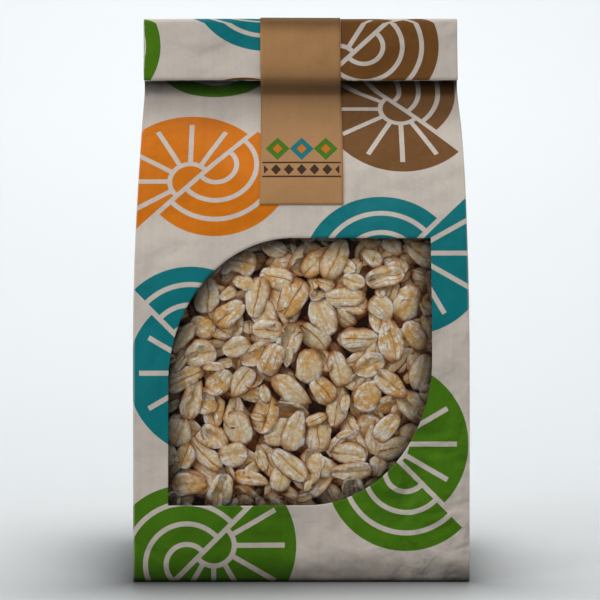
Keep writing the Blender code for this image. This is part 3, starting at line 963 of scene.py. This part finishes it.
def bottom_edge(loop, us):
    """The rounded bottom edge: rings drawn in along a quarter circle, with the sheet's own length along it."""
    rings, uvs = [], []
    for angle in np.radians([0, 25, 50, 72, 90]):
        inset = BOTTOM_ROUNDING * (1 - math.cos(angle))
        height = BOTTOM_ROUNDING * (1 - math.sin(angle))
        rings.append(loop * (1 - inset / HALF_WIDTH, 1 - inset / HALF_DEPTH, 0) + (0, 0, height))
        uvs.append(sheet_uv(us, BOTTOM_ROUNDING * (1 - angle)))
    return np.array(rings), np.array(uvs)


def bottom_base(loop):
    """The folded-in ends of the sides, which close the bottom: rings that step up inside the edge, to the middle."""
    points = np.array([loop * (share, share, 0) + (0, 0, rise * BOTTOM_STEP) for share, rise in BASE_RINGS])
    x, y = points[..., 0], points[..., 1]
    along = np.where(x > 0, HALF_WIDTH + HALF_DEPTH + y, -HALF_WIDTH - HALF_DEPTH - y)
    return points, close_rows(sheet_uv(along, np.abs(x) - HALF_WIDTH))


def bottom_flap(side, z):
    """One end of the front (side -1) or back (side 1) folded under, its ends slanted at 45 degrees.

    Its half width is that of its fold less the distance from it.
    """
    away = np.linspace(0.0, BOTTOM_FLAP_LENGTH, 8)[:, None]
    x = np.linspace(-1, 1, 13)[None, :] * (HALF_WIDTH - 1.4 * MM - away)
    y = side * (HALF_DEPTH - 1.1 * MM - away)
    points = np.stack(np.broadcast_arrays(x, y, z), axis=2)
    return points, sheet_uv(x if side < 0 else HALF_ROUND - x, -away)


def length_setting(name, description, value):
    """A length that a user can change."""
    return bpy.props.FloatProperty(name=name, description=description, default=value, unit="LENGTH")


def colour_setting(name, description, value):
    """A colour that a user can change."""
    return bpy.props.FloatVectorProperty(name=name, description=description, default=value, subtype="COLOR")


class OatPackSizes(bpy.types.PropertyGroup):
    """Sizes that a user would change."""

    paper: length_setting("Paper", "Thickness of the paper", 0.25 * MM)
    film: length_setting("Film", "Thickness of the clear film", 0.12 * MM)
    flake_length: length_setting("Flake length", "Mean length of an oat flake", 11.1 * MM)
    flake_width: length_setting("Flake width", "Mean width of an oat flake", 6.8 * MM)
    flake_tries: bpy.props.IntProperty(
        name="Flakes laid", description="How many flakes are dropped on the heap", default=2600)


class OatPackColours(bpy.types.PropertyGroup):
    """Colours of the paper, its print, the strip and the oats."""

    paper: colour_setting("Paper", "Unprinted paper", (0.572, 0.508, 0.450))
    teal: colour_setting("Teal", "First ink", (0.002, 0.170, 0.190))
    green: colour_setting("Green", "Second ink", (0.060, 0.172, 0.003))
    brown: colour_setting("Brown", "Third ink", (0.160, 0.066, 0.015))
    orange: colour_setting("Orange", "Fourth ink", (0.605, 0.162, 0.002))
    kraft: colour_setting("Kraft", "Brown paper of the strip", (0.428, 0.228, 0.093))
    rule: colour_setting("Rule", "Dark ink on the strip", (0.045, 0.022, 0.010))
    oat_pale: colour_setting("Pale oat", "Starchy part of a flake", (0.82, 0.652, 0.405))
    oat_white: colour_setting("White oat", "Floury part of a flake", (0.92, 0.86, 0.77))
    oat_gold: colour_setting("Golden oat", "Toasted part of a flake", (0.72, 0.410, 0.125))
    oat_bran: colour_setting("Bran", "Bran at a flake's rim", (0.45, 0.190, 0.050))
    # Also the colour of the painted contact shadow at each flake's rim and, dimmed, of the oat ground's painted shade.
    oat_crease: colour_setting("Crease", "Crease along a flake", (0.29, 0.092, 0.022))


class OATPACK_OT_paper_bag(bpy.types.Operator):
    """Builds the thin paper of the pack over the paper_bag solid"""

    bl_idname = "oatpack.paper_bag"
    bl_label = "Paper Bag"

    def execute(self, context):
        tube, us, heights = body_tube()
        around = np.concatenate([us, [us[0] + UNROLLED]])
        uvs = sheet_uv(around[None, :], heights[:, None])
        closed = close_rows(tube)
        body, top = slice(0, BODY_ROWS + 1), slice(BODY_ROWS, None)
        edge, edge_uvs = bottom_edge(tube[0], around)
        vertices, quads, corners = join_grids([
            *split_at_seam(closed[body], uvs[body], first=FRONT_COLUMNS),
            *split_at_seam(closed[top], uvs[top]),
            add_grid(*front_panel(tube), wrap=True, flip=True),
            *split_at_seam(close_rows(edge), edge_uvs, flip=True),
            add_grid(*bottom_base(edge[-1]), wrap=True, flip=True),
            add_grid(*bottom_flap(-1, INNER_FLAP_Z), flip=True),
            add_grid(*bottom_flap(1, OUTER_FLAP_Z)),
        ])
        piece = make_piece("paper_skin", waver(vertices), quads, corners, weld=WELD)
        set_point_values(piece, "shade", paper_shade(point_places(piece)))
        thicken(piece, context.scene.oat_pack_sizes.paper)
        dress(piece, bag_paper_material(context.scene.oat_pack_colours), "bag_paper", "paper_bag")
        return {"FINISHED"}


class OATPACK_OT_window_film(bpy.types.Operator):
    """Builds the clear film behind the window in place of the window_film solid"""

    bl_idname = "oatpack.window_film"
    bl_label = "Window Film"

    def execute(self, context):
        outline = window_outline(FILM_OVERLAP)
        middle = outline.mean(axis=0)
        shares = np.linspace(0, 1, FILM_RINGS + 1)[:, None]
        x = middle[0] + (outline[:, 0] - middle[0]) * shares
        z = middle[1] + (outline[:, 1] - middle[1]) * shares
        region = (-HALF_WIDTH, HALF_WIDTH, WINDOW_BOTTOM, WINDOW_TOP)
        ripple = np.clip(soft_dents(x, z, *FILM_RIPPLES, region), -RIPPLE_LIMIT, RIPPLE_LIMIT)
        points = np.stack([x, -panel_surface(x, z, x) + FILM_GAP + ripple, z], axis=2)
        vertices, quads, corners = add_grid(points, close_rows(sheet_uv(x, z)), wrap=True)
        piece = make_piece("film_sheet", waver(vertices), quads, corners, weld=WELD)
        thicken(piece, context.scene.oat_pack_sizes.film)
        dress(piece, film_material(), "clear_film", "window_film")
        return {"FINISHED"}


def heap_plane(x, z):
    """The y of the plane that the heap's depths are measured from, HEAP_DEPTH behind the front panel."""
    return -(front_offset(x, z) - HEAP_DEPTH)


def drop_flakes(length, width, tries):
    """Lays flakes one by one on a height field, so that each rests on those below it.

    A flake takes the slope of the field under it, plus a little chance, and sinks until it touches. It is left out
    where it would come through the film. Flakes that nothing of is seen in the end are dropped. Returns the
    flakes, the field and the place of the field's first point.
    """
    rng = np.random.default_rng(HEAP_SEED)
    xs = np.arange(WINDOW_LEFT - HEAP_MARGIN, WINDOW_RIGHT + HEAP_MARGIN, HEAP_STEP)
    zs = np.arange(WINDOW_BOTTOM - HEAP_MARGIN, WINDOW_TOP + HEAP_MARGIN, HEAP_STEP)
    grid_x, grid_z = np.meshgrid(xs, zs)
    field = rng.uniform(0.0, GROUND_ROUGHNESS, grid_x.shape)
    owner = np.full(grid_x.shape, -1)
    flakes = []
    for _ in range(tries):
        x, z = rng.uniform(xs[0], xs[-1]), rng.uniform(zs[0], zs[-1])
        piece = rng.uniform(*BROKEN_SIZES) if rng.uniform() < BROKEN_SHARE else 1.0
        a, b = (0.5 * mean * np.clip(rng.normal(1.0, spread), least, LARGEST) * piece
                for mean, (spread, least) in zip((length, width), FLAKE_SPREADS))
        turn = rng.uniform(0, np.pi)
        if abs(x) + math.hypot(a * math.cos(turn), b * math.sin(turn)) > HEAP_SIDE:
            continue
        reach = int(a / HEAP_STEP) + 2
        column, row = int((x - xs[0]) / HEAP_STEP), int((z - zs[0]) / HEAP_STEP)
        near = (slice(max(row - reach, 0), row + reach + 1), slice(max(column - reach, 0), column + reach + 1))
        dx, dz = grid_x[near] - x, grid_z[near] - z
        along, across = turned_axes(dx, dz, turn)
        under = (along / a) ** 2 + (across / b) ** 2 < 1
        if under.sum() < FEWEST_COVERED:
            continue
        ground, px, pz = field[near][under], dx[under], dz[under]
        basis = np.stack([px, pz, np.ones_like(px)], axis=1)
        slopes = np.linalg.lstsq(basis, ground, rcond=None)[0][:2]
        slopes = np.clip(slopes * 0.9 + rng.normal(0, SLOPE_CHANCE, 2), -STEEPEST, STEEPEST)
        for share in SLOPE_SHARES:
            tilt = slopes * share
            lean = tilt[0] * px + tilt[1] * pz
            rest = np.percentile(ground - lean, GROUND_BELOW) + 0.5 * FLAKE_THICKNESS
            if np.max(rest + lean) + 0.5 * FLAKE_THICKNESS < HEAP_DEPTH - HEAP_CLEARANCE:
                break
        else:
            continue
        top = rest + lean + 0.42 * FLAKE_THICKNESS
        field[near][under] = np.maximum(ground, top)
        owner[near][under] = np.where(top > ground, len(flakes), owner[near][under])
        flakes.append((x, z, rest, tilt[0], tilt[1], turn, a, b))
    counts = np.bincount(owner[owner >= 0].ravel(), minlength=len(flakes))
    return np.array(flakes)[counts >= FEWEST_SEEN], field, (xs[0], zs[0])


def flake_mesh(flakes):
    """All flakes as one mesh, each a grid of 7 by 7 points over a flat underside.

    With l along a flake and w across it, from -1 to 1, its half width is the root of 1 - |l|^2.5, times a taper
    1 + k l and a slow sine wave for each side. Its top has a lobe on both sides of a groove, and all of it is
    bent by l^2, w^2 and l w. The groove wanders, its ends are notched, and each point is moved by a little chance.
    Returns points, quads, the seven-cornered ends and each point's UV.
    """
    rng = np.random.default_rng(SHAPE_SEED)
    x, z, rest, tilt_x, tilt_z, turn, a, b = flakes.T[..., None, None]
    shape = (len(flakes), len(FLAKE_ALONG), len(FLAKE_ACROSS))

    def chance(low, high):
        return rng.uniform(low, high, (len(flakes), 1, 1))

    def wave(low, high):
        return np.sin(chance(low, high) * l + chance(0, 6.3))

    l = np.broadcast_to(FLAKE_ALONG[None, :, None], shape)
    w = np.broadcast_to(FLAKE_ACROSS[None, None, :], shape)
    taper = chance(-0.34, 0.34)
    left = 1 + 0.09 * wave(2, 5)
    right = 1 + 0.09 * wave(2, 5)
    half = np.sqrt(1 - np.abs(l) ** 2.5) * (1 + taper * l) * np.where(w < 0, left, right)
    wander = (chance(-0.16, 0.16) + chance(-0.12, 0.12) * wave(1.5, 3)) * (1 - w**2)
    notch = -np.sign(l) * (np.abs(l) > 0.9) * chance(-0.02, 0.16) * (1 - np.minimum(np.abs(w) / 0.64, 1))
    shake = rng.normal(0, 1, (3, *shape))
    along = (l + notch + 0.030 * shake[0]) * a
    across = (half * (w + wander) + 0.045 * shake[1]) * b
    thick = FLAKE_THICKNESS * chance(0.75, 1.25)
    groove = chance(0.35, 1.15)
    profile = np.where(w == 0, 1 - (1 - FLAKE_TOP[3]) * groove, FLAKE_TOP[None, None, :])
    height = thick * profile * (0.45 + 0.55 * (1 - l**2) ** 0.5) + 0.06 * MM * shake[2]
    bend = rng.normal(0, FLAKE_BEND, (3, len(flakes), 1, 1)) * np.minimum(a / (5 * MM), 1.0)
    height = height + bend[0] * l**2 + bend[1] * w**2 + bend[2] * l * w - 0.5 * thick
    dx = along * np.cos(turn) - across * np.sin(turn)
    dz = along * np.sin(turn) + across * np.cos(turn)
    lift = rest + tilt_x * dx + tilt_z * dz + height
    lift = lift - np.maximum(lift.max(axis=(1, 2), keepdims=True) - (HEAP_DEPTH - 2.2 * MM), 0.0)
    px, pz = x + dx, z + dz
    points = np.stack([px, heap_plane(px, pz) - lift, pz], axis=3).reshape(-1, 3)
    uv = np.stack([0.5 + 0.5 * l, 0.5 + 0.5 * w * np.sqrt(1 - l**2)], axis=3).reshape(-1, 2)
    index = np.arange(l[0].size).reshape(shape[1:])
    under = np.stack([index[:-1, 0], index[1:, 0], index[1:, -1], index[:-1, -1]], axis=1)
    starts = np.arange(len(flakes))[:, None, None] * index.size
    quads = (np.concatenate([cells(index).reshape(-1, 4), under])[:, ::-1] + starts).reshape(-1, 4)
    ends = (np.stack([index[0], index[-1, ::-1]]) + starts).reshape(-1, len(FLAKE_ACROSS))
    return points, quads, ends, uv


def sunk_below(points, lift, field, start):
    """How far points lie below the heap round them: the field under a Gaussian blur, less their own height."""
    rows, columns = (np.fft.fftfreq(size) for size in field.shape)
    squares = rows[:, None] ** 2 + columns[None, :] ** 2
    blurred = np.real(np.fft.ifft2(np.fft.fft2(field) * np.exp(-2 * (np.pi * FIELD_BLUR) ** 2 * squares)))
    column, row = (np.clip(np.round((points[:, axis] - first) / HEAP_STEP).astype(int), 0, size - 1)
                   for axis, first, size in zip((0, 2), start, field.shape[::-1]))
    return blurred[row, column] - lift


def flake_shade(points):
    """Painted shade on the flakes, darker near the window's edge, its top and its sides; painted light near its
    bottom.
    """
    x, _, z = points.T
    shade = smooth_step(window_distance(x, z), -1 * MM, 8 * MM, 0.22)
    for inwards, start, end, first in (
        (WINDOW_TOP - z, 0.0, 11 * MM, 0.82),
        (z - WINDOW_BOTTOM, 2 * MM, 14 * MM, 1.16),
        (x - WINDOW_LEFT, 0.0, 11 * MM, 0.84),
        (WINDOW_RIGHT - x, 0.0, 11 * MM, 0.78),
    ):
        shade *= smooth_step(inwards, start, end, first)
    return shade


def flake_deep(points, field, start):
    """Painted light that reaches down between the flakes: less of it where a point is below the heap round it, or low.
    """
    lift = heap_plane(points[:, 0], points[:, 2]) - points[:, 1]
    sunk = sunk_below(points, lift, field, start)
    return smooth_step(sunk, -0.1 * MM, 2.3 * MM, 1.0, 0.34) * smooth_step(lift, 0.9 * MM, 3.2 * MM, 0.58)


def heap_core():
    """The ground of the heap: a closed body inside the pack, hollowed behind the window and rough there.

    Each row is a section of the pack drawn in by 2 mm. Points of its front that lie behind the window are set
    back to the plane of the heap's depths, with a smooth edge. The first and last rows are drawn in to a point.
    """
    rows = []
    for z in np.linspace(CORE_INSET, CORE_TOP, CORE_ROWS):
        depth = float(half_depth(z))
        corner = (depth - CORE_INSET) / depth
        x = np.linspace(-1, 1, CORE_COLUMNS + 1) * (float(side_offset(np.array(corner), z)) - CORE_INSET)
        back_by = HEAP_DEPTH * smooth_step(window_distance(x, np.full_like(x, z)), -5 * MM, -3 * MM, 0.3)
        front = np.stack([x, back_by - front_offset(x, z), np.full_like(x, z)], axis=1)
        shares = np.linspace(-corner, corner, CORE_SIDE_COLUMNS + 1)[1:-1]
        flank = math.hypot(depth, float(gusset_depth(z))) / depth
        side = np.stack([side_offset(shares, z) - CORE_INSET * flank, shares * depth, np.full_like(shares, z)], axis=1)
        back = np.stack([x[::-1], front_offset(x[::-1], z) - CORE_INSET, np.full_like(x, z)], axis=1)
        rows.append(np.concatenate([front, side, back, side * (-1, -1, 1)]))
    first, last = ([row * (share, share, 1) for share in (0.0, 0.5)] for row in (rows[0], rows[-1]))
    return np.array([*first, *rows, *last[::-1]])


class OATPACK_OT_rolled_oats(bpy.types.Operator):
    """Builds the oat flakes and the ground under them in place of the rolled_oats solid"""

    bl_idname = "oatpack.rolled_oats"
    bl_label = "Rolled Oats"

    def execute(self, context):
        sizes, colours = context.scene.oat_pack_sizes, context.scene.oat_pack_colours
        flakes, field, start = drop_flakes(sizes.flake_length, sizes.flake_width, sizes.flake_tries)
        points, quads, ends, uv = flake_mesh(flakes)
        corners = uv[np.concatenate([quads.ravel(), ends.ravel()])]
        piece = make_piece("oat_flakes", waver(points), quads, corners, ends.tolist())
        tones = np.random.default_rng(TONE_SEED).uniform(0, 1, len(flakes))
        set_point_values(piece, "tone", np.repeat(tones, len(points) // len(flakes)))
        set_point_values(piece, "shade", flake_shade(points))
        set_point_values(piece, "deep", flake_deep(points, field, start))
        dress(piece, oat_material(colours), "oat_flakes", "rolled_oats")

        rows = heap_core()
        vertices, quads, corners = add_grid(rows, np.zeros((len(rows), rows.shape[1] + 1, 2)), wrap=True)
        core = make_piece("oat_core", waver(vertices), quads, corners, weld=WELD)
        dress(core, heap_core_material(colours), "oat_flakes", "rolled_oats")
        return {"FINISHED"}


def strip_lines(x):
    """Lines (y, z) of the strip's inner face at each x: up the back, round the fold, down the flap and the front.

    On the panels it is their surface with its relief, a gap further out. Under the flap's end it dips towards
    the neck along a Bezier curve.
    """
    x = x[:, None]
    back_z = np.broadcast_to(np.linspace(STRIP_BACK_Z, NECK_Z, 30), (len(x), 30))
    back_y = panel_surface(x, back_z, HALF_ROUND - x) + STRIP_GAP
    over_y, over_z = neck_bend(fold_shares(STRIP_FOLD_ROWS, STRIP_FOLD_END), NECK_HALF + STRIP_GAP)
    front_z = np.broadcast_to(np.linspace(STRIP_FLAT_Z, STRIP_FRONT_Z, 50), (len(x), 50))
    front_y = -(panel_surface(x, front_z, x) + STRIP_GAP)
    shares = np.linspace(0, 1, 10)[1:-1]
    dip_y = bezier(over_y[-1], over_y[-1] + 1.3 * MM, front_y[:, :1], shares)
    dip_z = bezier(over_z[-1], 151.0 * MM, front_z[:, :1], shares)
    over_y, over_z = (np.broadcast_to(values, (len(x), len(values))) for values in (over_y, over_z))
    return (np.concatenate([back_y, over_y, dip_y, front_y], axis=1),
            np.concatenate([back_z, over_z, dip_z, front_z], axis=1))


class OATPACK_OT_seal_strip(bpy.types.Operator):
    """Builds the kraft strip over the fold in place of the seal_strip solid"""

    bl_idname = "oatpack.seal_strip"
    bl_label = "Seal Strip"

    def execute(self, context):
        across = np.linspace(-STRIP_HALF, STRIP_HALF, STRIP_COLUMNS + 1)
        y, z = (values.T for values in strip_lines(across))
        x = np.broadcast_to(across, y.shape)
        steps = np.hypot(*(np.diff(values[:, STRIP_COLUMNS // 2]) for values in (y, z)))
        from_front = np.concatenate([np.cumsum(steps[::-1])[::-1], [0.0]])[:, None]
        uvs = np.stack(np.broadcast_arrays(x / UNROLLED, from_front / UNROLLED), axis=-1)
        vertices, quads, corners = add_grid(np.stack([x, y, z], axis=2), uvs, flip=True)
        piece = make_piece("strip_sheet", waver(vertices), quads, corners)
        set_point_values(piece, "shade", strip_shade(point_places(piece)))
        thicken(piece, STRIP_THICKNESS, 1.0)
        dress(piece, kraft_material(context.scene.oat_pack_colours), "strip_paper", "seal_strip")
        return {"FINISHED"}


def add_light(name, place, aim, size, power, colour):
    """A soft light with a rectangular area, at place and turned to aim."""
    data = bpy.data.lights.new(name, "AREA")
    data.shape = "RECTANGLE"
    data.size, data.size_y = size
    data.energy = power
    data.color = colour
    light = bpy.data.objects.new(name, data)
    light.rotation_euler = (Vector(aim) - Vector(place)).to_track_quat("-Z", "Y").to_euler()
    light.location = place
    light.visible_camera = False
    bpy.context.scene.collection.objects.link(light)


def floor_material():
    """Pale floor with a painted contact shadow where the pack stands: 1 less a share of e to the minus distance from
    its footprint.

    The share and the reach of that painted shadow grow from the pack's right to its left.
    """
    material, wires, shader = new_material("pale_floor", Roughness=0.55, Specular_IOR_Level=0.3)
    place = wires.place()
    outside = wires.vector("SUBTRACT", wires.vector("ABSOLUTE", place), (HALF_WIDTH, HALF_DEPTH, 0.0))
    distance = wires.vector("LENGTH", wires.vector("MAXIMUM", outside, (0.0, 0.0, 0.0)))
    to_right = wires.split(place)[0]
    reach = wires.band(to_right, -HALF_WIDTH, HALF_WIDTH, 23 * MM, 16 * MM)
    share = wires.band(to_right, -HALF_WIDTH, HALF_WIDTH, 0.91, 0.74)
    # Painted contact shadow: darker near the pack's footprint, fading with distance.
    painted_floor_shadow = 1.0 - wires.math("EXPONENT", 0.0 - distance / reach) * share
    wires.join(shader["Base Color"], wires.dim((0.64, 0.66, 0.67, 1.0), painted_floor_shadow))
    return material


class OATPACK_OT_stage(bpy.types.Operator):
    """Adds the floor with its curved backdrop, the soft lights and the camera"""

    bl_idname = "oatpack.stage"
    bl_label = "Stage"

    def execute(self, context):
        radius, back, high, front = 0.35, 0.75, 2.2, -2.6
        angles = np.linspace(0, np.pi / 2, 24)
        sweep = np.stack([back - radius + radius * np.sin(angles), radius - radius * np.cos(angles)], axis=1)
        profile = np.concatenate([[[front, 0.0], [-0.6, 0.0], [0.1, 0.0]], sweep, [[back, high]]])
        across = np.linspace(-3.0, 3.0, 9)
        points = np.stack(np.broadcast_arrays(across[None, :], profile[:, :1], profile[:, 1:]), axis=2)
        floor = make_piece("floor", *add_grid(points, np.zeros((*points.shape[:2], 2))))
        floor.data.materials.append(floor_material())

        world = bpy.data.worlds.new("pale_room")
        world.use_nodes = True
        sky = world.node_tree.nodes["Background"].inputs
        sky["Color"].default_value = SKY_COLOUR
        sky["Strength"].default_value = SKY_STRENGTH
        context.scene.world = world
        for light in LIGHTS:
            add_light(*light)

        data = bpy.data.cameras.new("photo_camera")
        data.lens = CAMERA_LENS
        data.sensor_width = CAMERA_SENSOR
        camera = bpy.data.objects.new("photo_camera", data)
        camera.location = CAMERA_PLACE
        camera.rotation_euler = (math.pi / 2, 0.0, 0.0)
        context.scene.collection.objects.link(camera)
        context.scene.camera = camera
        context.scene.view_settings.view_transform = "Standard"
        return {"FINISHED"}


class OATPACK_PT_sidebar(bpy.types.Panel):
    """Lists the pack's pieces, sizes and colours"""

    bl_idname = "OATPACK_PT_sidebar"
    bl_label = "Oat Pack"
    bl_space_type = "VIEW_3D"
    bl_region_type = "UI"
    bl_category = "Oat Pack"

    def draw(self, context):
        column = self.layout.column(align=True)
        for operator in OPERATORS:
            column.operator(operator.bl_idname)
        for settings in (context.scene.oat_pack_sizes, context.scene.oat_pack_colours):
            for name in settings.bl_rna.properties.keys():
                if name not in ("rna_type", "name"):
                    column.prop(settings, name)


OPERATORS = (OATPACK_OT_paper_bag, OATPACK_OT_window_film, OATPACK_OT_rolled_oats, OATPACK_OT_seal_strip,
             OATPACK_OT_stage)
CLASSES = (OatPackSizes, OatPackColours, *OPERATORS, OATPACK_PT_sidebar)


def register():
    for item in CLASSES:
        bpy.utils.register_class(item)
    bpy.types.Scene.oat_pack_sizes = bpy.props.PointerProperty(type=OatPackSizes)
    bpy.types.Scene.oat_pack_colours = bpy.props.PointerProperty(type=OatPackColours)


def unregister():
    del bpy.types.Scene.oat_pack_colours
    del bpy.types.Scene.oat_pack_sizes
    for item in reversed(CLASSES):
        bpy.utils.unregister_class(item)


def main():
    register()
    bpy.ops.oatpack.paper_bag()
    bpy.ops.oatpack.window_film()
    bpy.ops.oatpack.rolled_oats()
    bpy.ops.oatpack.seal_strip()
    bpy.ops.oatpack.stage()


if __name__ == "__main__":
    main()
